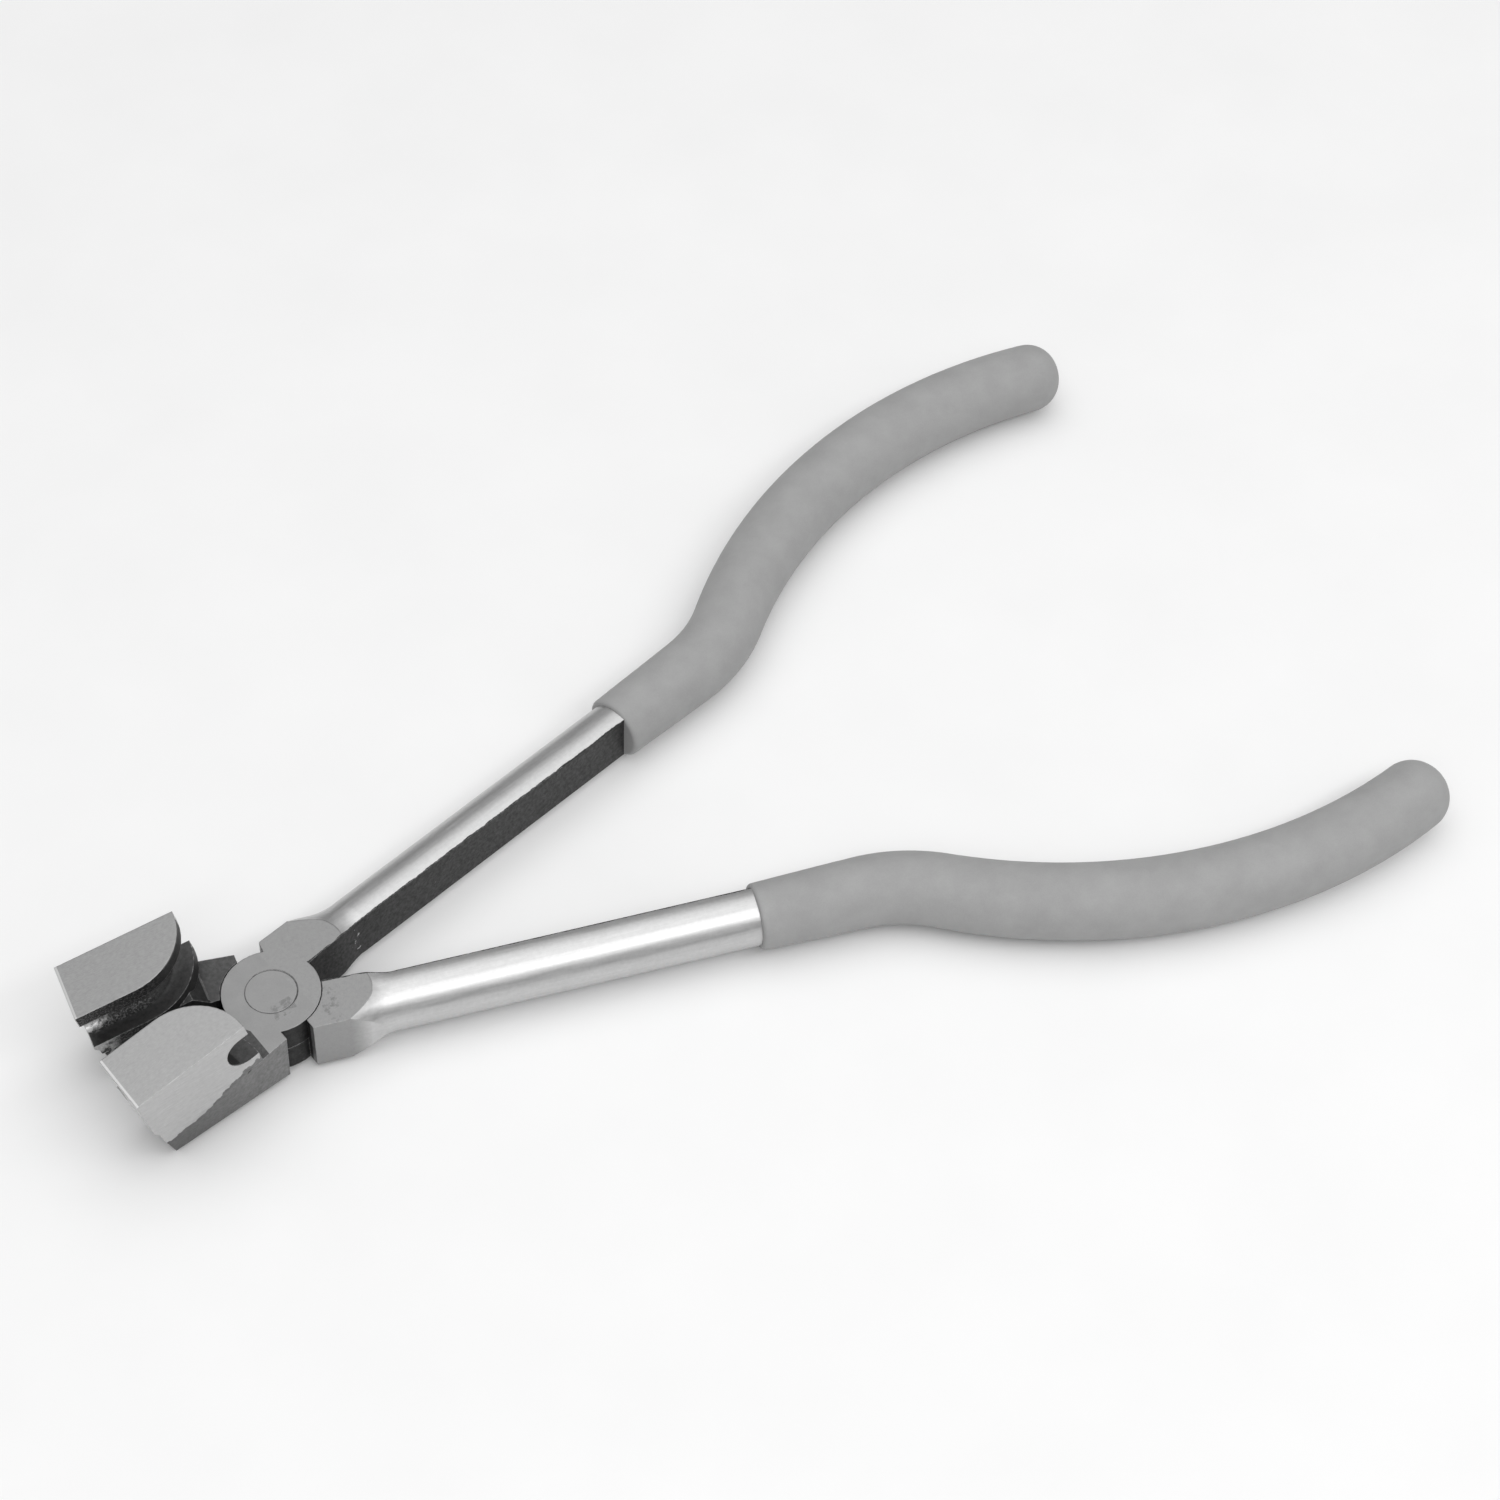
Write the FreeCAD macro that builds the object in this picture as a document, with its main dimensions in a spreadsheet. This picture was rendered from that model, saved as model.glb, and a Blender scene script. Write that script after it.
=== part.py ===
import FreeCAD, Part
import math
import os
import Sketcher
from FreeCAD import Placement, Rotation, Vector

# Hand pliers with tall channelled jaws for running a score in sheet glass.
# Two forged halves lap at a flush riveted joint and carry dipped vinyl grips.
# Each half is drawn closed, with its gripping lips along X, then swung open by rest_half.
# Z is the joint axis, Z = 0 is the flat underside, the handles run towards +X.

os.makedirs("parts", exist_ok=True)
doc = FreeCAD.newDocument("running_pliers")

DIMENSIONS = {
    # joint
    "joint_thick": 9.5,
    "disc_rad": 7.3,
    "disc_clear": 0.15,
    "lap_gap": 0.04,
    "rivet_rad": 3.0,
    "rivet_head_rad": 3.83,
    "rivet_head_deep": 1.2,
    "rivet_clear": 0.05,
    "rest_half": 7.0,
    # jaw head
    "jaw_tilt": 12.4,
    "jaw_tip_x": 28.4,
    "jaw_tip_top": 17.75,
    "jaw_long": 18.5,
    "jaw_face": 0.65,
    "jaw_flank": 10.45,
    "jaw_round": 9.2,
    "jaw_deep": 10.7,
    "jaw_tip_deep": 8.9,
    "tip_step_slant": 0.8,
    "tip_step_inset": 0.53,
    "tip_step_lowest": 0.7,
    "tip_step_high": 3.0,
    "tip_step_across": 30.0,
    "lip_thick": 2.2,
    "channel_high": 6.1,
    "channel_deep": 4.4,
    "channel_round": 2.9,
    # neck between jaw and joint
    "neck_face": 1.55,
    "neck_outer": 8.3,
    "shoulder_x": 2.8,
    # handle
    "handle_angle": 7.26,
    "shank_high": 8.4,
    "shank_wide": 6.75,
    "shank_inner": 0.9,
    "shank_crown": 19.0,
    "shank_start": 18.5,
    "handle_neck_inner": 0.25,
    "handle_neck_outer": 7.95,
    "handle_neck_end": 10.0,
    "handle_shoulder": 3.9,
    "bend_start": 89.7,
    "bend_rad": 26.2,
    "bend_turn": 28.4,
    "palm_rad": 87.0,
    "palm_turn": 51.4,
    # grip
    "grip_start": 73.0,
    "grip_axis": 3.35,
    "grip_rad_front": 5.12,
    "grip_rad_bend": 5.72,
    "grip_rad_end": 5.7,
    "grip_past": 7.0,
    "grip_end_round": 5.2,
    "grip_rim_round": 0.6,
}

sheet = doc.addObject("Spreadsheet::Sheet", "dims")
for row, (alias, value) in enumerate(DIMENSIONS.items(), start=1):
    sheet.set("A%d" % row, alias)
    sheet.set("B%d" % row, str(value))
    sheet.setAlias("B%d" % row, alias)
doc.recompute()


def dim(alias):
    return float(sheet.get(alias))


def turn_y(angle):
    return Rotation(Vector(0, 1, 0), angle)


def plane_of(body, role):
    for feature in body.Origin.OriginFeatures:
        if feature.Role == role:
            return feature


def new_sketch(body, label, placement, role="XY_Plane"):
    sketch = body.newObject("Sketcher::SketchObject", label)
    sketch.AttachmentSupport = [(plane_of(body, role), "")]
    sketch.MapMode = "FlatFace"
    sketch.AttachmentOffset = placement
    return sketch


def at_height(z):
    return Placement(Vector(0, 0, z), Rotation())


def flat(p):
    return Vector(p[0], p[1], 0)


def add_outline(sketch, steps, closed=True):
    """Draw a chain: each step is a corner, or (through, corner) for an arc to that corner."""
    start = steps[0]
    pen = start
    ends_at_start = isinstance(steps[-1][0], tuple) and steps[-1][1] == start
    for step in steps[1:] + ([start] if closed and not ends_at_start else []):
        if isinstance(step[0], tuple):
            through, end = step
            sketch.addGeometry(Part.Arc(flat(pen), flat(through), flat(end)))
        else:
            end = step
            sketch.addGeometry(Part.LineSegment(flat(pen), flat(end)))
        pen = end
    last = sketch.GeometryCount - 1
    for index in range(last):
        join(sketch, index, index + 1)
    if closed:
        join(sketch, last, 0)


def join(sketch, first, second):
    """Tie the end of one edge to the start of the next, whichever way an arc runs."""
    pair = None
    for a in (1, 2):
        for b in (1, 2):
            gap = sketch.getPoint(first, a) - sketch.getPoint(second, b)
            if gap.Length < 1e-6:
                pair = (a, b)
    sketch.addConstraint(Sketcher.Constraint("Coincident", first, pair[0], second, pair[1]))


def add_circle(sketch, centre, radius, alias):
    sketch.addGeometry(Part.Circle(flat(centre), Vector(0, 0, 1), radius))
    index = sketch.addConstraint(Sketcher.Constraint("Radius", sketch.GeometryCount - 1, radius))
    sketch.setExpression("Constraints[%d]" % index, alias)


def pad(body, label, sketch, length_expression, down=False):
    feature = body.newObject("PartDesign::Pad", label)
    feature.Profile = sketch
    feature.Reversed = down
    feature.setExpression("Length", length_expression)
    sketch.Visibility = False
    doc.recompute()
    return feature


def pocket(body, label, sketch, length_expression, up=False):
    feature = body.newObject("PartDesign::Pocket", label)
    feature.Profile = sketch
    feature.Reversed = up
    feature.setExpression("Length", length_expression)
    sketch.Visibility = False
    doc.recompute()
    return feature


def loft(body, label, sections, ruled=True):
    feature = body.newObject("PartDesign::AdditiveLoft", label)
    feature.Profile = sections[0]
    feature.Sections = sections[1:]
    feature.Ruled = ruled
    doc.recompute()
    return feature


def turned(body, kind, label, profile):
    """Revolve a profile drawn as (radius, height) about the joint axis."""
    sketch = new_sketch(body, label + "_profile", Placement(), "XZ_Plane")
    add_outline(sketch, profile)
    feature = body.newObject(kind, label)
    feature.Profile = sketch
    feature.ReferenceAxis = (sketch, ["V_Axis"])
    feature.Angle = 360
    doc.recompute()
    return feature


def rivet_profile(clear):
    """Countersunk at both ends, so that the two halves can't come apart."""
    neck = dim("rivet_rad") + clear
    head = dim("rivet_head_rad") + clear
    top = dim("joint_thick")
    deep = dim("rivet_head_deep")
    return [(0, 0), (head, 0), (neck, deep), (neck, top - deep), (head, top), (0, top)]


def handle_point(side, along, across):
    """A point beside the straight part of the handle, along it and outward from its inner line."""
    angle = math.radians(dim("handle_angle"))
    x = along * math.cos(angle) - across * math.sin(angle)
    y = -(along * math.sin(angle) + across * math.cos(angle))
    return (x, side * y)


def handle_path(side, start, trim):
    """Straight run, outward bend and long palm curve, as points and arc midpoints."""
    axis = dim("grip_axis")
    bend_at = dim("bend_start")
    slope = math.radians(-dim("handle_angle"))
    first = handle_point(1, start, axis)
    corner = handle_point(1, bend_at, axis)

    def arc_from(point, heading, radius, turn):
        """turn is positive to the left; returns the middle point, end point and end heading."""
        sense = math.copysign(1.0, turn)
        centre = (point[0] - sense * radius * math.sin(heading),
                  point[1] + sense * radius * math.cos(heading))

        def on_arc(angle):
            return (centre[0] + sense * radius * math.sin(angle),
                    centre[1] - sense * radius * math.cos(angle))
        return on_arc(heading + turn / 2), on_arc(heading + turn), heading + turn

    bend = math.radians(dim("bend_turn"))
    mid_1, end_1, heading = arc_from(corner, slope, dim("bend_rad"), -bend)
    palm = math.radians(dim("palm_turn")) - trim / dim("palm_rad")
    mid_2, end_2, heading = arc_from(end_1, heading, dim("palm_rad"), palm)

    def flip(p):
        return (p[0], side * p[1])
    steps = [flip(first), flip(corner), (flip(mid_1), flip(end_1)), (flip(mid_2), flip(end_2))]
    return steps, side * heading


def across_plane(side, point, heading):
    """Plane square to the handle: local x points outward from the other handle, local y up."""
    ahead = Vector(math.cos(heading), math.sin(heading), 0)
    outward = Vector(side * math.sin(heading), -side * math.cos(heading), 0)
    up = Vector(0, 0, 1)
    middle = dim("joint_thick") / 2
    return Placement(Vector(point[0], point[1], middle), Rotation(outward, up, outward.cross(up)))


def bowed_outline(near, far, half, crown):
    """Flat inner face, crowned top and bottom, and a round back that they run into smoothly.

    near and far are measured outward; crown is the slope in degrees where the inner face ends.
    """
    angle = math.radians(crown)
    radius = half / math.cos(angle)
    shoulder = far - radius * (1 - math.sin(angle))
    middle = (near + shoulder) / 2
    rise = half + (shoulder - near) / 2 * math.tan(angle / 2)
    return [(near, -half), (near, half), ((middle, rise), (shoulder, half)),
            ((far, 0), (shoulder, -half)), ((middle, -rise), (near, -half))]


def shank_outline(axis):
    """The shank's section, measured outward from a line that lies at axis."""
    near = dim("shank_inner") - axis
    return bowed_outline(near, near + dim("shank_wide"), dim("shank_high") / 2,
                         dim("shank_crown"))


def sweep(feature, profile, path):
    """Carry a profile along a flat path without letting it roll."""
    feature.Profile = profile
    feature.Spine = (path, [])
    feature.Mode = "Binormal"
    feature.Binormal = Vector(0, 0, 1)


def sweep_tang(body, kind, label, side, start, path):
    slope = math.radians(dim("handle_angle"))
    section = new_sketch(body, label + "_section", across_plane(side, start, -side * slope))
    add_outline(section, shank_outline(dim("grip_axis")))
    sweep(body.newObject(kind, label), section, path)
    doc.recompute()


def build_half(name, side):
    """side 1 is the half whose disc is underneath and whose jaw points to +Y."""
    body = doc.addObject("PartDesign::Body", name)
    body.Label = name
    thick = dim("joint_thick")
    gap = dim("lap_gap") / 2
    lap = thick / 2
    own_floor = 0 if side > 0 else lap + gap
    other_floor = lap - gap if side > 0 else 0
    slope = math.radians(dim("handle_angle"))

    # lap disc
    disc = new_sketch(body, name + "_disc_sketch", at_height(own_floor))
    add_circle(disc, (0, 0), dim("disc_rad"), "dims.disc_rad")
    pad(body, name + "_disc", disc, "dims.joint_thick / 2 - dims.lap_gap / 2")

    # handle neck, full thickness, from the shoulder to where the rounded shank takes over
    inner = dim("handle_neck_inner")
    outer = dim("handle_neck_outer")
    neck_end = dim("handle_neck_end")
    neck = new_sketch(body, name + "_handle_neck_sketch", at_height(0))
    shoulder = dim("handle_shoulder")
    add_outline(neck, [
        handle_point(side, shoulder, outer - 1.6),
        handle_point(side, shoulder + 0.6, outer),
        handle_point(side, neck_end, outer),
        handle_point(side, neck_end, inner),
        handle_point(side, dim("disc_rad") - 0.4, inner - 0.3),
        handle_point(side, shoulder, inner + 1.0),
    ])
    pad(body, name + "_handle_neck", neck, "dims.joint_thick")

    # forged flare: the shank swells towards the neck, past the planes it is ground back to
    flare = []
    for index, (along, outline) in enumerate((
            (8.0, bowed_outline(inner, 11.0, 6.6, 2)),
            (10.0, bowed_outline(inner, 10.2, 5.9, 2)),
            (12.0, bowed_outline(inner, 9.3, 5.3, 2)),
            (14.0, bowed_outline(inner + 0.15, 8.4, 4.75, 4)),
            (16.0, bowed_outline(inner + 0.45, 7.8, 4.3, 12)),
            (dim("shank_start"), shank_outline(0)))):
        section = new_sketch(body, "%s_flare_%d" % (name, index),
                             across_plane(side, handle_point(side, along, 0), -side * slope))
        add_outline(section, outline)
        flare.append(section)
    loft(body, name + "_flare", flare, ruled=False)

    # the three ground flats of the neck: top, underside and outer side
    blank = [handle_point(side, 7.0, -1), handle_point(side, dim("shank_start"), -1),
             handle_point(side, dim("shank_start"), 14), handle_point(side, 7.0, 14)]
    for label, height, up in (("top", thick, True), ("under", 0, False)):
        ground = new_sketch(body, "%s_ground_%s" % (name, label), at_height(height))
        add_outline(ground, blank)
        pocket(body, "%s_flat_%s" % (name, label), ground, "4", up=up)
    side_flat = new_sketch(body, name + "_ground_side", at_height(thick))
    add_outline(side_flat, [handle_point(side, 7.0, outer),
                            handle_point(side, dim("shank_start"), outer)] + blank[2:])
    pocket(body, name + "_flat_side", side_flat, "dims.joint_thick")

    # shank and tang, swept along the handle's line into the grip
    steps, heading = handle_path(side, dim("shank_start"), 0)
    path = new_sketch(body, name + "_handle_path", at_height(thick / 2))
    add_outline(path, steps, closed=False)
    sweep_tang(body, "PartDesign::AdditivePipe", name + "_shank", side, steps[0], path)

    # forged root that carries the jaw, from the shoulder forward to its raked front
    root = []
    flank = dim("jaw_flank")
    face = dim("neck_face")
    stations = (
        (-dim("shoulder_x"), 0, 8.0, dim("neck_outer"), thick - 0.2, thick),
        (-8.6, 0, 8.3, 9.4, thick - 0.2, thick),
        (-11.2, 0, 8.45, flank, 10.4, 11.6),
        (-23.1, 18, 9.1, flank, 5.6, 8.4),
    )
    for index, (x, rake, low, wide, knee, top) in enumerate(stations):
        up = Vector(-math.sin(math.radians(rake)), 0, math.cos(math.radians(rake)))
        across = Vector(0, 1, 0)
        station = new_sketch(body, "%s_root_%d" % (name, index),
                             Placement(Vector(x, 0, 0), Rotation(across, up, across.cross(up))))
        add_outline(station, [(side * face, 0), (side * low, 0), (side * wide, knee),
                              (side * wide, top), (side * face, top)])
        root.append(station)
    loft(body, name + "_root", root)

    # jaw head: a block with one fully rounded corner, square to its tilted top
    tilt = Placement(Vector(-dim("jaw_tip_x"), 0, dim("jaw_tip_top")), turn_y(-dim("jaw_tilt")))

    def in_head(z):
        return tilt.multiply(Placement(Vector(0, 0, z), Rotation()))

    near = dim("jaw_face")
    long = dim("jaw_long")
    bow = dim("jaw_round")
    diag = math.sqrt(0.5)

    def head_outline(front, inset, reach_out):
        """From tip to flank round the gripping side; inset moves that side outward."""
        radius = bow - inset
        centre = (long - bow, near + bow)
        return [
            (front, side * (near + inset)),
            (centre[0], side * (near + inset)),
            ((centre[0] + radius * diag, side * (centre[1] - radius * diag)),
             (centre[0] + radius, side * centre[1])),
            (centre[0] + radius, side * (flank + reach_out)),
        ]

    head = new_sketch(body, name + "_head_sketch", in_head(0))
    add_outline(head, head_outline(0, 0, 0) + [(0, side * flank)])
    pad(body, name + "_head", head, "dims.jaw_deep", down=True)

    # small step under the tip, where the ground head stands out over the forged root
    step = new_sketch(body, name + "_tip_step_sketch",
                      tilt.multiply(Placement(Vector(), Rotation(Vector(1, 0, 0), 90))))
    tip_deep = dim("jaw_tip_deep")
    slant_deep = tip_deep + dim("tip_step_slant")
    under_tip = tip_deep + dim("tip_step_high")
    before_tip = -1
    add_outline(step, [
        (before_tip, -tip_deep),
        (0, -tip_deep),
        (dim("tip_step_inset"), -slant_deep),
        (dim("tip_step_lowest"), -under_tip),
        (before_tip, -under_tip),
    ])
    cut = pocket(body, name + "_tip_step", step, "dims.tip_step_across")
    cut.Midplane = True
    doc.recompute()

    # round-bottomed channel that follows the gripping side and runs out at both ends
    channel = new_sketch(body, name + "_channel_sketch", in_head(-dim("lip_thick")))
    deep = dim("channel_deep")
    add_outline(channel, head_outline(-1, deep, 1) + [
        (long + 1, side * (flank + 1)), (long + 1, side * (near - 1)), (-1, side * (near - 1))])
    cut = pocket(body, name + "_channel", channel, "dims.channel_high")
    picked = []
    to_head = tilt.inverse()
    for index, edge in enumerate(cut.Shape.Edges, start=1):
        middle = to_head.multVec(edge.valueAt((edge.FirstParameter + edge.LastParameter) / 2))
        level = min(abs(middle.z + dim("lip_thick")),
                    abs(middle.z + dim("lip_thick") + dim("channel_high")))
        across = side * middle.y
        on_side = abs(across - near - deep) < 1e-3
        on_back = abs(middle.x - (long - deep)) < 1e-3
        from_centre = math.hypot(middle.x - (long - bow), across - (near + bow))
        if level < 1e-3 and (on_side or on_back or abs(from_centre - (bow - deep)) < 1e-3):
            picked.append("Edge%d" % index)
    blend = body.newObject("PartDesign::Fillet", name + "_channel_round")
    blend.Base = (cut, picked)
    blend.setExpression("Radius", "dims.channel_round")
    doc.recompute()

    # seat that clears the other half's disc, and the rivet hole
    seat = new_sketch(body, name + "_seat_sketch", at_height(other_floor))
    add_circle(seat, (0, 0), dim("disc_rad") + dim("disc_clear"), "dims.disc_rad + dims.disc_clear")
    pocket(body, name + "_seat", seat, "dims.joint_thick / 2 + dims.lap_gap / 2", up=True)
    clear = 0 if side > 0 else dim("rivet_clear")
    turned(body, "PartDesign::Groove", name + "_rivet_hole", rivet_profile(clear))

    body.setExpression("Placement.Rotation.Angle", "%d * dims.rest_half" % -side)
    body.Placement.Rotation = Rotation(Vector(0, 0, 1), -side * dim("rest_half"))
    return body


def build_grip(name, side):
    """Dipped vinyl sleeve, thicker towards its closed round end, over the swept tang."""
    body = doc.addObject("PartDesign::Body", name)
    body.Label = name
    middle = dim("joint_thick") / 2
    slope = math.radians(dim("handle_angle"))
    steps, heading = handle_path(side, dim("grip_start"), -dim("grip_past"))
    path = new_sketch(body, name + "_path", at_height(middle))
    add_outline(path, steps, closed=False)
    front = new_sketch(body, name + "_front", across_plane(side, steps[0], -side * slope))
    add_circle(front, (0, 0), dim("grip_rad_front"), "dims.grip_rad_front")
    bend_heading = -side * (slope + math.radians(dim("bend_turn")))
    middle_ring = new_sketch(body, name + "_bend", across_plane(side, steps[2][1], bend_heading))
    add_circle(middle_ring, (0, 0), dim("grip_rad_bend"), "dims.grip_rad_bend")
    rear = new_sketch(body, name + "_rear", across_plane(side, steps[-1][1], heading))
    add_circle(rear, (0, 0), dim("grip_rad_end"), "dims.grip_rad_end")
    skin = body.newObject("PartDesign::AdditivePipe", name + "_skin")
    sweep(skin, front, path)
    skin.Transformation = "Multisection"
    skin.Sections = [middle_ring, rear]
    doc.recompute()

    for label, centre, radius in (("tip", steps[-1][1], "dims.grip_end_round"),
                                  ("rim", steps[0], "dims.grip_rim_round")):
        base = body.Tip
        target = Vector(centre[0], centre[1], middle)
        names = ["Edge%d" % i for i, edge in enumerate(base.Shape.Edges, start=1)
                 if edge.Closed and (edge.CenterOfMass - target).Length < 0.5]
        rounding = body.newObject("PartDesign::Fillet", "%s_%s" % (name, label))
        rounding.Base = (base, names)
        rounding.setExpression("Radius", radius)
        doc.recompute()

    tang, heading = handle_path(side, dim("grip_start") - 2, 0)
    inner_path = new_sketch(body, name + "_tang_path", at_height(middle))
    add_outline(inner_path, tang, closed=False)
    sweep_tang(body, "PartDesign::SubtractivePipe", name + "_hollow", side, tang[0], inner_path)
    body.setExpression("Placement.Rotation.Angle", "%d * dims.rest_half" % -side)
    body.Placement.Rotation = Rotation(Vector(0, 0, 1), -side * dim("rest_half"))
    return body


lower_half = build_half("lower_half", 1)
upper_half = build_half("upper_half", -1)
rivet = doc.addObject("PartDesign::Body", "rivet")
rivet.Label = "rivet"
turned(rivet, "PartDesign::Revolution", "rivet_turned", rivet_profile(0))
lower_grip = build_grip("lower_grip", 1)
upper_grip = build_grip("upper_grip", -1)
doc.recompute()

for item in doc.Objects:
    if {"Invalid", "Error"} & set(item.State):
        raise RuntimeError("%s is %s" % (item.Label, item.State))

for piece in (lower_half, upper_half, rivet, lower_grip, upper_grip):
    shape = piece.Shape
    if shape.isNull() or not shape.isValid() or len(shape.Solids) != 1:
        raise RuntimeError("%s has no single valid solid" % piece.Label)
    shape.exportStep("parts/%s.step" % piece.Label)
    print(piece.Label, "%.1f mm3" % shape.Volume)
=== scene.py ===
import math

import bpy
from mathutils import Euler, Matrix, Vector


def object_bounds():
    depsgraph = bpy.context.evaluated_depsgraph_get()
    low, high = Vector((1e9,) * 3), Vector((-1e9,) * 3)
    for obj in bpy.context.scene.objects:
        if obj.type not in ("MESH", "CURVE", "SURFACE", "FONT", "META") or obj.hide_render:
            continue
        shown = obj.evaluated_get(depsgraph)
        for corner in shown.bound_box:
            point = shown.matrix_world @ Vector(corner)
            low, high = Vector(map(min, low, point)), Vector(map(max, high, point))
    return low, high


# Running pliers: two ground and polished forged halves on a flush rivet, with dipped vinyl grips.
# The scene is in metres in the CAD frame: Z is the joint axis and the handles run towards +X.

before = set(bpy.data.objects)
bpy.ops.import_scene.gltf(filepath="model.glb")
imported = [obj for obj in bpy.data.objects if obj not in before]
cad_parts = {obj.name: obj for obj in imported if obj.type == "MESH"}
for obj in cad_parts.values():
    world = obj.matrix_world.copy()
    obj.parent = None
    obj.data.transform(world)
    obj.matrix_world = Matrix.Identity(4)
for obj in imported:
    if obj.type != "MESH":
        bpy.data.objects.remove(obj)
cad_box = [list(corner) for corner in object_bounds()]

# camera and lights, in metres and degrees
CAMERA_AT = (-0.0993009, -0.2689504, 0.4143901)
CAMERA_TURN = (39.018, -1.898, -31.616)
CAMERA_LENS = 80.675
SENSOR = 36.0
FLOOR_REACH = 3.0
DOME_LEAN = 15.0
DOME_STRENGTH = 0.76
# place from the horizon (0) to the dome's brightest spot (1), and the level there
DOME_LEVELS = ((0.0, 0.35), (1.0, 1.1), (0.3, 0.42), (0.6, 0.6), (0.85, 0.9))
OVERHEAD_POWER = 1.0
OVERHEAD_LEAN = 4.0
OVERHEAD_SPREAD = 75.0
STRIP_AT = (0.08, -0.42, 0.6)
STRIP_AIM = (0.08, 0, 0)
STRIP_LONG = 1.1
STRIP_WIDE = 0.12
STRIP_POWER = 1.6


class Nodes:
    """A short way to write node trees."""

    def __init__(self, tree):
        self.tree = tree

    def add(self, kind, inputs=None, **settings):
        node = self.tree.nodes.new("ShaderNode" + kind)
        for name, value in settings.items():
            setattr(node, name, value)
        for key, value in (inputs or {}).items():
            if isinstance(value, bpy.types.NodeSocket):
                self.tree.links.new(value, node.inputs[key])
            else:
                node.inputs[key].default_value = value
        return node

    def math(self, operation, *values):
        return self.add("Math", dict(enumerate(values)), operation=operation).outputs[0]

    def plus(self, a, b):
        return self.math("ADD", a, b)

    def times(self, a, b):
        return self.math("MULTIPLY", a, b)

    def scaled(self, vector, scale):
        mapping = self.add("Mapping", {"Vector": vector, "Scale": scale})
        return mapping.outputs["Vector"]

    def noise(self, vector, scale, detail=3.0, rough=0.5):
        inputs = {"Vector": vector, "Scale": scale, "Detail": detail, "Roughness": rough}
        return self.add("TexNoise", inputs).outputs["Fac"]

    def ramp(self, value, low, high, to_low=0.0, to_high=1.0):
        inputs = {"Value": value, "From Min": low, "From Max": high, "To Min": to_low, "To Max": to_high}
        return self.add("MapRange", inputs).outputs["Result"]

    def link(self, source, target):
        if isinstance(source, bpy.types.NodeSocket):
            self.tree.links.new(source, target)
        else:
            target.default_value = source

    def turned(self, vector, scale, rotation):
        inputs = {"Vector": vector, "Scale": scale, "Rotation": rotation}
        return self.add("Mapping", inputs).outputs["Vector"]

    def split(self, vector):
        return self.add("SeparateXYZ", {"Vector": vector}).outputs[:3]

    def above(self, value, limit):
        return self.math("GREATER_THAN", value, limit)

    def below(self, value, limit):
        return self.math("LESS_THAN", value, limit)

    def within(self, value, low, high):
        return self.both(self.above(value, low), self.below(value, high))

    def both(self, a, b):
        return self.math("MULTIPLY", a, b)

    def either(self, a, b):
        return self.math("MAXIMUM", a, b)

    def opposite(self, mask):
        return self.math("SUBTRACT", 1.0, mask)

    def choose(self, start, layers):
        """Lay each (mask, value) over what is there so far."""
        value = start
        for mask, layer in layers:
            node = self.add("Mix", data_type="FLOAT")
            for socket, source in zip(node.inputs[:1] + node.inputs[2:4], (mask, value, layer)):
                self.link(source, socket)
            value = node.outputs[0]
        return value

    def grey(self, level):
        inputs = {"Red": level, "Green": level, "Blue": level}
        return self.add("CombineColor", inputs).outputs["Color"]


def new_material(name):
    material = bpy.data.materials.new(name)
    material.use_nodes = True
    tree = material.node_tree
    tree.nodes.clear()
    nodes = Nodes(tree)
    shader = nodes.add("BsdfPrincipled")
    nodes.add("OutputMaterial", {"Surface": shader.outputs["BSDF"]})
    return material, nodes, shader


# Places on the steel are in mm in each half's own frame: x along the jaw and negative towards its tip,
# y outward at the jaw, z up. The upper half is the mirror image of the lower one.
MM = 1000.0
REST_HALF = math.radians(7.0)
HANDLE_ANGLE = math.radians(7.26)
JAW_TILT = math.radians(12.4)
JAW_TIP = (-28.4, 17.75)
RIVET_RING = 3.86

# the joint
TOP_FACE = 9.3
UNDER_FACE = 0.2
RIVET_REACH = 4.0
DISC_REACH = 7.4
LAP_REACH = 8.2
LAP_HEIGHTS = (0.1, 9.4)
ROOT_EDGE = -6.2
BACK_EDGE = -1.0

# the jaw
PLATE_SKIN = 0.25
TIP_SKIN = 0.12
TIP_LOW = 8.6
# width of the painted highlight band along the tip edge of the plate
RIM_HIGHLIGHT_WIDE = 0.4
FLANK_OUT = 9.2
FLANK_BACK = -8.5
CHANNEL_TOP = -0.3
CHANNEL_LOW = -8.5
CHANNEL_OUT = 10.2
CHANNEL_BACK = -8.0
POCKET_FRONT = -13.5
POCKET_LOW = 9.75
GRIP_SIDE = 2.0

# the neck and the handle, by distance along it and outward from its inner line
NECK_STARTS = 3.0
NECK_OUTER = 7.9
NECK_FLAT_ENDS = 15.6
NECK_FLAT_HEIGHTS = (0.04, 9.46)
INNER_STARTS = 7.2
SHANK_STARTS = 9.5

# where the ground flank of the jaw gives way to the forged wall: along the jaw, and height
FLANK_LINE = ((-26.0, 5.2), (-22.6, 5.4), (-21.2, 6.1), (-19.4, 6.3), (-17.5, 7.1), (-15.1, 8.9),
              (-13.5, 9.4), (-12.2, 10.6), (-10.0, 11.6), (-8.7, 12.0))
FLANK_TALLEST = 20.0

EDGE_ROUND = 0.00018
GRAIN_DEPTH = 0.00006
WEAR_AND_HIGHLIGHT_REACH = 60.0


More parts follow.
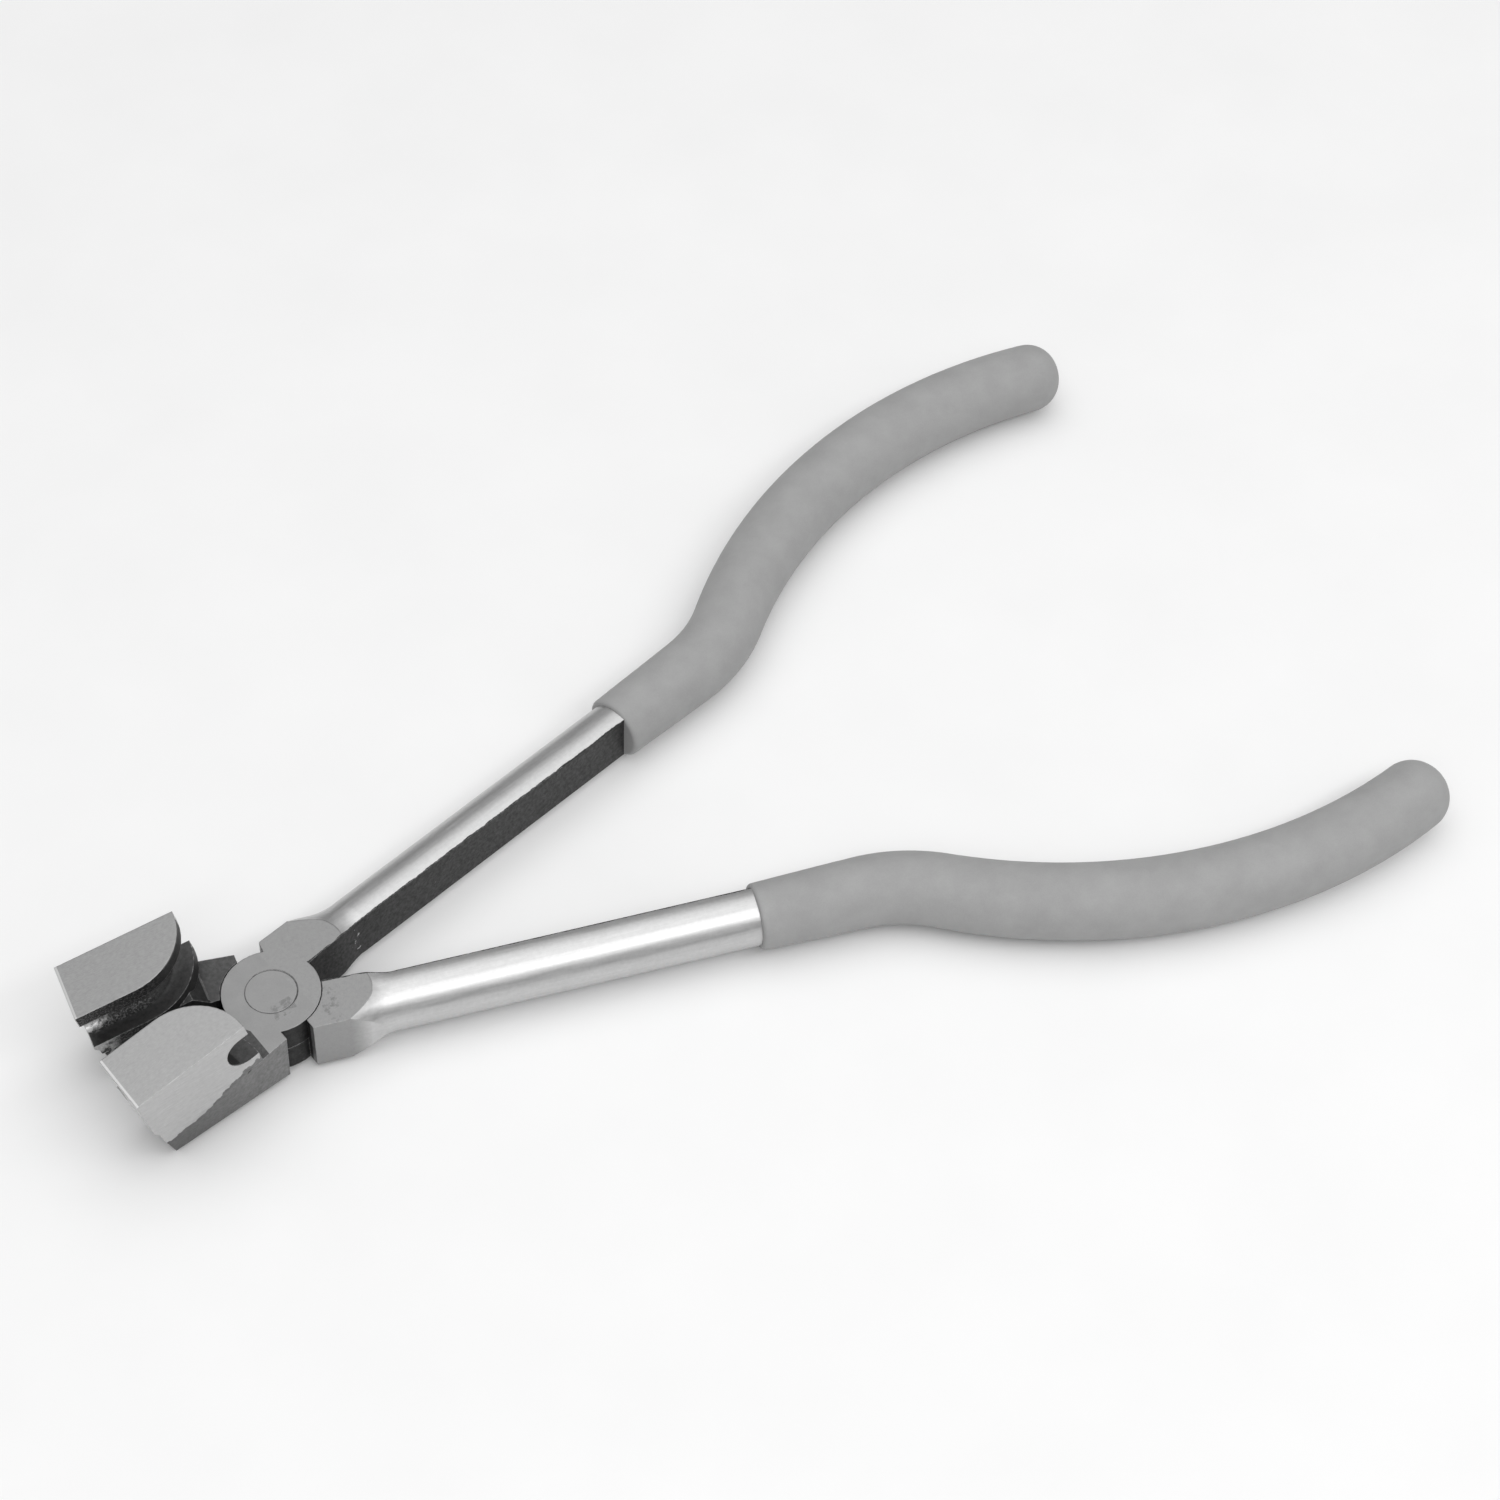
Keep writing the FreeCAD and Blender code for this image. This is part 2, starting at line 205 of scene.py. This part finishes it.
def flank_line(n, along):
    """Height of the flank line at a place along the jaw."""
    first, last = FLANK_LINE[0][0], FLANK_LINE[-1][0]
    node = n.add("FloatCurve")
    curve = node.mapping.curves[0]
    for index, (x, z) in enumerate(FLANK_LINE):
        spot = ((x - first) / (last - first), z / FLANK_TALLEST)
        if index == 0:
            curve.points[0].location = spot
        elif index == len(FLANK_LINE) - 1:
            curve.points[-1].location = spot
        else:
            curve.points.new(*spot)
    node.mapping.update()
    n.link(n.ramp(along, first, last), node.inputs["Value"])
    return n.math("MULTIPLY", node.outputs[0], FLANK_TALLEST)


class SteelPlaces:
    """The coordinates of one forged half, and the noises that its surfaces share."""

    def __init__(self, n, side):
        at_rest = n.add("TexCoord").outputs["Object"]
        self.place = n.turned(at_rest, (MM, side * MM, MM), (0, 0, REST_HALF))
        self.handle = n.turned(self.place, (1, 1, 1), (0, 0, HANDLE_ANGLE))
        self.x, self.y, self.z = n.split(self.place)
        self.along, inward = n.split(self.handle)[:2]
        self.outward = n.times(inward, -1.0)
        self.radius = n.math("SQRT", n.plus(n.times(self.x, self.x), n.times(self.y, self.y)))

        self.normal = n.add("NewGeometry").outputs["Normal"]
        self.steep = n.math("ABSOLUTE", n.split(self.normal)[2])
        self.level = n.ramp(self.steep, 0.93, 0.96)

        # back from the tip along the tilted top plate, and up from that plate
        from_tip = n.plus(self.x, -JAW_TIP[0])
        over_tip = n.plus(self.z, -JAW_TIP[1])
        self.behind_tip = n.plus(n.times(from_tip, math.cos(JAW_TILT)),
                                 n.times(over_tip, math.sin(JAW_TILT)))
        self.over_plate = n.math("SUBTRACT", n.times(over_tip, math.cos(JAW_TILT)),
                                 n.times(from_tip, math.sin(JAW_TILT)))

        self.coarse = n.noise(self.place, 0.35, 4.0, 0.6)
        self.mottle = n.noise(self.place, 1.6, 5.0, 0.65)
        self.grit = n.noise(self.place, 9.0, 3.0, 0.6)
        self.brushed = n.noise(n.scaled(self.place, (0.35, 7.0, 7.0)), 1.0, 4.0, 0.7)
        self.drawn = n.noise(n.scaled(self.handle, (0.12, 2.2, 2.2)), 1.0, 5.0, 0.7)


def jaw_zones(n, p):
    """Masks for the ground and forged surfaces of the jaw head."""
    plate = n.both(p.level, n.above(p.over_plate, -PLATE_SKIN))
    wobble = n.ramp(n.noise(p.place, 0.9, 3.0, 0.6), 0.3, 0.7, -0.1, 0.9)
    flank = n.both(n.above(p.y, FLANK_OUT), n.above(p.z, n.plus(flank_line(n, p.x), wobble)))
    on_wall = n.both(n.below(p.x, FLANK_BACK), n.below(p.steep, 0.5))
    in_head = n.both(n.above(p.x, POCKET_FRONT), n.above(p.z, POCKET_LOW))
    channel = n.either(n.above(p.over_plate, CHANNEL_LOW), in_head)
    channel = n.both(n.below(p.over_plate, CHANNEL_TOP), channel)
    in_reach = n.both(n.below(p.y, CHANNEL_OUT), n.below(p.x, CHANNEL_BACK))
    return {
        "plate": plate,
        # painted highlight: a bright band along the tip edge of the plate
        "rim": n.both(n.below(p.behind_tip, RIM_HIGHLIGHT_WIDE), plate),
        "tip": n.both(n.below(p.behind_tip, TIP_SKIN), n.above(p.z, TIP_LOW)),
        "flank": n.both(flank, on_wall),
        "channel": n.both(n.either(channel, n.below(p.y, GRIP_SIDE)), in_reach),
    }


def joint_zones(n, p, side):
    """Masks for the faces of the joint. The face that holds the disc is ground further forward. The other
    level faces at the root of the jaw carry painted shade, as do the lap walls between the halves.
    """
    top = n.above(p.z, TOP_FACE)
    under = n.below(p.z, UNDER_FACE)
    disc_face, back_face = (top, under) if side < 0 else (under, top)
    disc = n.both(disc_face, n.either(n.below(p.radius, DISC_REACH), n.above(p.x, ROOT_EDGE)))
    back = n.both(back_face, n.either(n.below(p.radius, RIVET_REACH), n.above(p.x, BACK_EDGE)))
    between = n.both(n.above(p.z, LAP_HEIGHTS[0]), n.below(p.z, LAP_HEIGHTS[1]))
    return {
        # painted shade: level faces near the jaw, left in the jaw block's shadow
        "root": n.both(p.level, n.either(top, under)),
        "joint": n.both(p.level, n.either(disc, back)),
        # painted shade: the walls of the lap between the two halves
        "lap": n.both(n.below(p.radius, LAP_REACH), between),
    }


def handle_zones(n, p):
    """Masks for the ground neck, the polished shank and the raw inner face with its ragged edge."""
    widening = n.ramp(p.along, 12.0, 18.5, 0.25, 0.9)
    ragged = n.ramp(n.noise(p.place, 0.5, 4.0, 0.7), 0.3, 0.7, 0.02, 0.3)
    inner = n.both(n.below(p.outward, n.plus(widening, ragged)), n.above(p.along, INNER_STARTS))
    neck_side = n.both(n.above(p.outward, NECK_OUTER), n.ramp(p.along, 10.0, 13.0, 1.0, 0.0))
    faces = n.either(n.above(p.z, NECK_FLAT_HEIGHTS[1]), n.below(p.z, NECK_FLAT_HEIGHTS[0]))
    neck_flat = n.both(faces, n.below(p.along, NECK_FLAT_ENDS))
    neck = n.both(n.either(neck_side, neck_flat), n.above(p.along, NECK_STARTS))
    shank = n.both(n.above(p.along, SHANK_STARTS), n.opposite(inner))
    return {
        "inner": inner,
        "neck": neck,
        "shank": n.both(shank, n.opposite(neck)),
    }


def channel_patch(n, p):
    """Where the channel is rubbed bright, low down and close to the tip."""
    patch = n.both(n.ramp(n.noise(p.place, 0.55, 4.0, 0.6), 0.44, 0.54), n.ramp(p.x, -24.5, -22.5, 1.0, 0.0))
    return n.both(patch, n.ramp(p.over_plate, -5.2, -4.2, 1.0, 0.0))


def steel_tone(n, p, zone, patch):
    """Grey level of each surface, before marks and wear."""
    forged = n.times(n.ramp(p.x, -27.0, -4.0, 0.1, 0.24), n.ramp(p.mottle, 0.3, 0.7, 0.72, 1.25))
    ground = n.times(n.ramp(p.grit, 0.3, 0.7, 0.93, 1.06), n.ramp(p.coarse, 0.3, 0.7, 0.3, 0.33))
    flank = n.times(n.ramp(p.brushed, 0.3, 0.7, 0.86, 1.12), n.ramp(p.mottle, 0.3, 0.7, 0.48, 0.53))
    neck = n.times(n.ramp(p.mottle, 0.35, 0.6, 0.92, 1.03), n.ramp(p.grit, 0.3, 0.7, 0.31, 0.35))
    polished = n.times(n.ramp(p.drawn, 0.3, 0.7, 0.9, 1.06), n.ramp(p.mottle, 0.3, 0.7, 0.55, 0.61))
    flecks = n.ramp(n.noise(p.handle, 0.8, 6.0, 0.75), 0.66, 0.74)
    scale = n.times(n.ramp(p.mottle, 0.3, 0.75, 0.6, 1.7), n.ramp(p.grit, 0.3, 0.7, 0.018, 0.04))
    scale = n.plus(scale, n.times(flecks, 0.12))
    speckle = n.both(n.ramp(n.noise(p.place, 3.2, 4.0, 0.7), 0.5, 0.6), n.ramp(p.x, -18.0, -15.0, 1.0, 0.0))
    channel = n.plus(scale, n.plus(n.times(patch, 0.4), n.times(speckle, 0.12)))
    return n.choose(forged, (
        (zone["channel"], channel),
        # painted shade: the lap walls between the halves take the near-black scale tone
        (zone["lap"], scale),
        # painted shade: level faces at the root of the jaw, darkened to 0.42 of the forged tone
        (zone["root"], n.times(forged, 0.42)),
        (zone["joint"], ground),
        (zone["neck"], neck),
        (zone["shank"], polished),
        (zone["inner"], scale),
        (zone["tip"], flank),
        (zone["flank"], flank),
        (zone["plate"], n.times(flank, 0.76)),
        # painted highlight: the tip edge of the plate set to a bright fixed tone
        (zone["rim"], 0.62),
    ))


def face_marks(n, p, side):
    """The dark line round the rivet, a smudge beside it and stains where the lower handle meets the disc."""
    turn = n.plus(n.noise(p.place, 0.5, 3.0, 0.6), n.times(p.x, 0.06))
    ring = n.ramp(n.math("ABSOLUTE", n.plus(p.radius, -RIVET_RING)), 0.05, 0.17, 1.0, 0.0)
    ring = n.times(ring, n.ramp(turn, 0.35, 0.75, 0.12, 0.8))
    stain = n.both(n.ramp(n.noise(p.place, 0.9, 4.0, 0.7), 0.5, 0.62), n.within(p.along, 6.6, 9.0))
    marks = n.either(ring, n.times(stain, 0.3 if side > 0 else 0.05))
    if side < 0:
        smudge = n.both(n.ramp(n.noise(p.place, 1.4, 4.0, 0.7), 0.46, 0.6), n.within(p.x, -2.2, 1.6))
        smudge = n.both(smudge, n.within(p.y, 2.2, 4.8))
        marks = n.either(marks, n.times(smudge, 0.3))
    return n.both(n.both(marks, p.level), n.above(p.z, TOP_FACE))


def edge_wear_and_highlight(n, p, soft_edge):
    """Bright corners, partly real edge wear and partly a painted highlight on the rounded edges, found where
    the rounded normal turns away from the flat one.
    """
    bend = n.add("VectorMath", {0: soft_edge, 1: p.normal}, operation="DOT_PRODUCT").outputs["Value"]
    return n.both(n.ramp(bend, 0.985, 0.9), n.ramp(p.mottle, 0.4, 0.6, 0.1, 0.6))


def steel_roughness(n, p, zone, patch):
    brushed = n.ramp(p.brushed, 0.3, 0.7, 0.3, 0.44)
    return n.choose(0.5, (
        (zone["channel"], n.ramp(patch, 0, 1, 0.55, 0.3)),
        (zone["lap"], 0.5),
        (zone["joint"], n.ramp(p.grit, 0.3, 0.7, 0.36, 0.46)),
        (zone["neck"], n.ramp(p.mottle, 0.3, 0.7, 0.34, 0.5)),
        (zone["shank"], n.ramp(p.drawn, 0.3, 0.7, 0.34, 0.46)),
        (zone["inner"], n.ramp(p.mottle, 0.3, 0.7, 0.6, 0.4)),
        (zone["tip"], 0.3),
        (zone["flank"], brushed),
        (zone["plate"], brushed),
    ))


def steel_metal(n, zone):
    return n.choose(0.8, (
        (zone["inner"], 0.35),
        (zone["channel"], 0.6),
        (zone["plate"], 1.0),
        (zone["flank"], 1.0),
        (zone["shank"], 1.0),
    ))


def steel_height(n, p, zone):
    """Unevenness of each surface, most on the raw forging."""
    brushed = n.times(p.brushed, 0.5)
    return n.choose(n.times(p.mottle, 1.6), (
        (zone["joint"], n.times(p.grit, 0.25)),
        (zone["neck"], n.times(p.mottle, 0.5)),
        (zone["shank"], n.times(p.drawn, 0.45)),
        (zone["inner"], n.times(p.mottle, 1.2)),
        (zone["tip"], brushed),
        (zone["flank"], brushed),
        (zone["plate"], brushed),
    ))


def steel(name, side):
    """One forged half. side is 1 for the lower half and -1 for the upper one, its mirror image."""
    material, n, shader = new_material(name)
    p = SteelPlaces(n, side)
    zone = {**jaw_zones(n, p), **joint_zones(n, p, side), **handle_zones(n, p)}
    patch = channel_patch(n, p)

    soft_edge = n.add("Bevel", {"Radius": EDGE_ROUND}, samples=4).outputs["Normal"]
    tone = n.times(steel_tone(n, p, zone, patch), n.opposite(face_marks(n, p, side)))
    # bright corners: partly real edge wear, partly a painted highlight
    wear_and_highlit = n.both(edge_wear_and_highlight(n, p, soft_edge), n.below(p.radius, WEAR_AND_HIGHLIGHT_REACH))
    tone = n.choose(tone, ((wear_and_highlit, 0.6),))
    n.link(n.grey(tone), shader.inputs["Base Color"])
    n.link(steel_roughness(n, p, zone, patch), shader.inputs["Roughness"])
    n.link(steel_metal(n, zone), shader.inputs["Metallic"])

    bump = n.add("Bump", {"Height": steel_height(n, p, zone), "Strength": 0.35,
                          "Distance": GRAIN_DEPTH, "Normal": soft_edge})
    n.link(bump.outputs["Normal"], shader.inputs["Normal"])
    return material


def vinyl():
    """Dipped grip: matte, with faint clouding, fine pores and a slight unevenness of the coat."""
    material, n, shader = new_material("dipped_vinyl")
    place = n.turned(n.add("TexCoord").outputs["Object"], (MM, MM, MM), (0, 0, 0))
    cloud = n.noise(place, 0.22, 4.0, 0.6)
    pores = n.noise(place, 4.5, 4.0, 0.7)
    flow = n.noise(n.scaled(place, (0.05, 0.15, 0.15)), 1.0, 3.0, 0.5)
    tone = n.times(n.ramp(cloud, 0.3, 0.7, 0.325, 0.365), n.ramp(pores, 0.3, 0.7, 0.95, 1.04))
    n.link(n.grey(tone), shader.inputs["Base Color"])
    n.link(n.ramp(pores, 0.3, 0.7, 0.55, 0.7), shader.inputs["Roughness"])
    shader.inputs["Specular IOR Level"].default_value = 0.35
    height = n.plus(n.times(pores, 0.25), flow)
    bump = n.add("Bump", {"Height": height, "Strength": 0.25, "Distance": 0.0002})
    n.link(bump.outputs["Normal"], shader.inputs["Normal"])
    return material


def dress(node, material):
    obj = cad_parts[node]
    obj.data.materials.clear()
    obj.data.materials.append(material)


lower_steel = steel("forged_steel_lower", 1)
upper_steel = steel("forged_steel_upper", -1)
grip_vinyl = vinyl()
dress("lower_half", lower_steel)
dress("upper_half", upper_steel)
dress("rivet", upper_steel)
dress("lower_grip", grip_vinyl)
dress("upper_grip", grip_vinyl)


def add_floor():
    level = cad_box[0][2]
    mesh = bpy.data.meshes.new("floor")
    corners = [(FLOOR_REACH * x, FLOOR_REACH * y, level) for x, y in ((-1, -1), (1, -1), (1, 1), (-1, 1))]
    mesh.from_pydata(corners, [], [(0, 1, 2, 3)])
    floor = bpy.data.objects.new("floor", mesh)
    bpy.context.scene.collection.objects.link(floor)
    material, n, shader = new_material("floor_paper")
    place = n.add("TexCoord").outputs["Object"]
    n.link(n.grey(n.ramp(n.noise(place, 40.0), 0.3, 0.7, 0.89, 0.91)), shader.inputs["Base Color"])
    shader.inputs["Roughness"].default_value = 0.9
    mesh.materials.append(material)


def add_strip():
    """A long narrow light in front of the handles, for the bright band along the shanks."""
    light = bpy.data.lights.new("front_strip", "AREA")
    light.shape = "RECTANGLE"
    light.size = STRIP_LONG
    light.size_y = STRIP_WIDE
    light.energy = STRIP_POWER
    strip = bpy.data.objects.new("front_strip", light)
    strip.location = STRIP_AT
    strip.rotation_euler = (Vector(STRIP_AIM) - Vector(STRIP_AT)).to_track_quat("-Z", "Y").to_euler()
    bpy.context.scene.collection.objects.link(strip)


def add_camera():
    data = bpy.data.cameras.new("camera")
    data.lens = CAMERA_LENS
    data.sensor_width = SENSOR
    data.clip_start = 0.01
    camera = bpy.data.objects.new("camera", data)
    camera.location = CAMERA_AT
    camera.rotation_euler = Euler([math.radians(a) for a in CAMERA_TURN])
    bpy.context.scene.collection.objects.link(camera)
    bpy.context.scene.camera = camera


def add_world():
    """A soft studio dome, brightest a little in front of overhead and dimmer towards the horizon."""
    world = bpy.data.worlds.new("studio")
    world.use_nodes = True
    n = Nodes(world.node_tree)
    background = world.node_tree.nodes["Background"]
    direction = n.add("TexCoord").outputs["Generated"]
    lean = math.radians(DOME_LEAN)
    to_light = (0.0, -math.sin(lean), math.cos(lean))
    facing = n.add("VectorMath", {0: direction, 1: to_light}, operation="DOT_PRODUCT").outputs["Value"]
    ramp = n.add("ValToRGB", {"Fac": facing})
    stops = ramp.color_ramp.elements
    for index, (at, level) in enumerate(DOME_LEVELS):
        stop = stops[index] if index < 2 else stops.new(at)
        stop.position = at
        stop.color = (level, level, level, 1)
    world.node_tree.links.new(ramp.outputs["Color"], background.inputs["Color"])
    background.inputs["Strength"].default_value = DOME_STRENGTH
    bpy.context.scene.world = world


def add_overhead():
    """A very soft light from almost straight above."""
    light = bpy.data.lights.new("overhead", "SUN")
    light.energy = OVERHEAD_POWER
    light.angle = math.radians(OVERHEAD_SPREAD)
    overhead = bpy.data.objects.new("overhead", light)
    overhead.rotation_euler = (math.radians(-OVERHEAD_LEAN), 0, 0)
    bpy.context.scene.collection.objects.link(overhead)


add_floor()
add_world()
add_overhead()
add_strip()
add_camera()
bpy.context.scene.view_settings.view_transform = "Standard"
